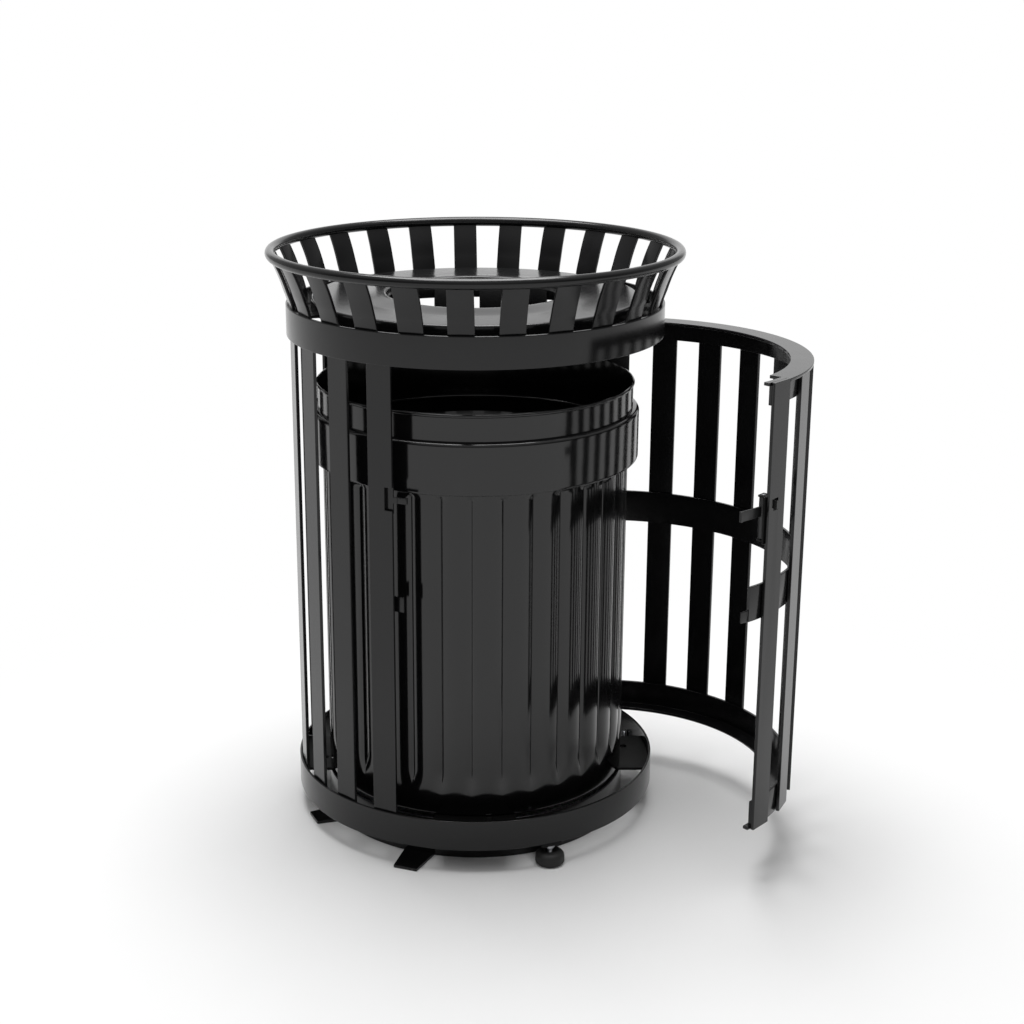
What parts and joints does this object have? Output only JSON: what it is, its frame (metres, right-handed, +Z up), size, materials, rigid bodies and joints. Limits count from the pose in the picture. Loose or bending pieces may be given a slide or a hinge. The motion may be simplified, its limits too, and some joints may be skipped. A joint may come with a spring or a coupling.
{
  "type": "litter bin",
  "caption": "Round slatted steel litter bin with a flared crown, open-centre lid, lift-out liner and a hinged side door, standing on levelling feet.",
  "frame": {"origin": "on the floor, on the axis of the round body", "axes": "+Z up along the axis of the body; -Y towards the front, with the door hinged on the +X side"},
  "size_m": [0.8586, 0.6942, 0.9559],
  "materials": {
    "frame_coat": "semi-gloss black powder coat with fine orange peel",
    "liner_coat": "gloss black coated sheet steel",
    "lid_coat": "gloss black powder coat on spun steel",
    "foot_rubber": "matte black moulded rubber",
    "zinc_steel": "bright zinc plate",
    "bush_bronze": "oil-filled bronze"
  },
  "bodies": {
    "frame": {"base_cross": "frame_coat", "base_ring": "frame_coat", "body_jamb_slat": "frame_coat", "body_slat_01": "frame_coat", "body_slat_02": "frame_coat", "body_slat_03": "frame_coat", "body_slat_04": "frame_coat", "body_slat_05": "frame_coat", "body_slat_06": "frame_coat", "body_slat_07": "frame_coat", "body_slat_08": "frame_coat", "body_slat_09": "frame_coat", "body_slat_10": "frame_coat", "body_slat_11": "frame_coat", "body_slat_12": "frame_coat", "door_stop": "frame_coat", "flare_slats_1": "frame_coat", "flare_slats_2": "frame_coat", "flare_slats_3": "frame_coat", "flare_slats_4": "frame_coat", "flare_slats_5": "frame_coat", "foot_jam_nuts": "zinc_steel", "foot_lugs": "frame_coat", "hinge_pins": "zinc_steel", "hinge_tabs": "frame_coat", "hinge_washer": "zinc_steel", "latch_keeper": "frame_coat", "lid_clips": "frame_coat", "plinth_ring": "frame_coat", "stabilizer_tabs": "frame_coat", "top_band": "frame_coat", "top_rim": "frame_coat"},
    "door": {"door_bottom_rail": "frame_coat", "door_jamb_slat": "frame_coat", "door_mid_rail": "frame_coat", "door_slat_1": "frame_coat", "door_slat_2": "frame_coat", "door_slat_3": "frame_coat", "door_slat_4": "frame_coat", "door_slat_5": "frame_coat", "door_slat_6": "frame_coat", "door_slat_7": "frame_coat", "door_slat_8": "frame_coat", "door_top_rail": "frame_coat", "hinge_bushes": "bush_bronze", "latch_bracket": "frame_coat", "latch_pin": "zinc_steel"},
    "latch": {"latch_lever": "frame_coat"},
    "lid": {"lid_panel": "lid_coat"},
    "liner": {"liner_bag_ring": "liner_coat", "liner_collar": "liner_coat", "liner_shell": "liner_coat"},
    "foot_1": {"foot_pad_1": "foot_rubber", "foot_stud_1": "zinc_steel"},
    "foot_2": {"foot_pad_2": "foot_rubber", "foot_stud_2": "zinc_steel"},
    "foot_3": {"foot_pad_3": "foot_rubber", "foot_stud_3": "zinc_steel"},
    "foot_4": {"foot_pad_4": "foot_rubber", "foot_stud_4": "zinc_steel"}
  },
  "joints": [
    {"name": "door_hinge", "type": "hinge", "parent": "frame", "child": "door", "pos_m": [0.22371, 0.13979, 0.45], "axis": [0, 0, 1], "range_deg": [-58, 22]},
    {"name": "latch_pivot", "type": "hinge", "parent": "door", "child": "latch", "pos_m": [0.42721, -0.31805, 0.597], "axis": [0, 0, 1], "range_deg": [0, 6]},
    {"name": "lid_lift", "type": "slide", "parent": "frame", "child": "lid", "axis": [0, 0, 1], "range_m": [0, 0.13]},
    {"name": "liner_lift", "type": "slide", "parent": "frame", "child": "liner", "axis": [0, 0, 1], "range_m": [0, 0.055]},
    {"name": "foot_1_adjust", "type": "slide", "parent": "frame", "child": "foot_1", "axis": [0, 0, 1], "range_m": [-0.012, 0.004]},
    {"name": "foot_2_adjust", "type": "slide", "parent": "frame", "child": "foot_2", "axis": [0, 0, 1], "range_m": [-0.012, 0.004]},
    {"name": "foot_3_adjust", "type": "slide", "parent": "frame", "child": "foot_3", "axis": [0, 0, 1], "range_m": [-0.012, 0.004]},
    {"name": "foot_4_adjust", "type": "slide", "parent": "frame", "child": "foot_4", "axis": [0, 0, 1], "range_m": [-0.012, 0.004]}
  ]
}
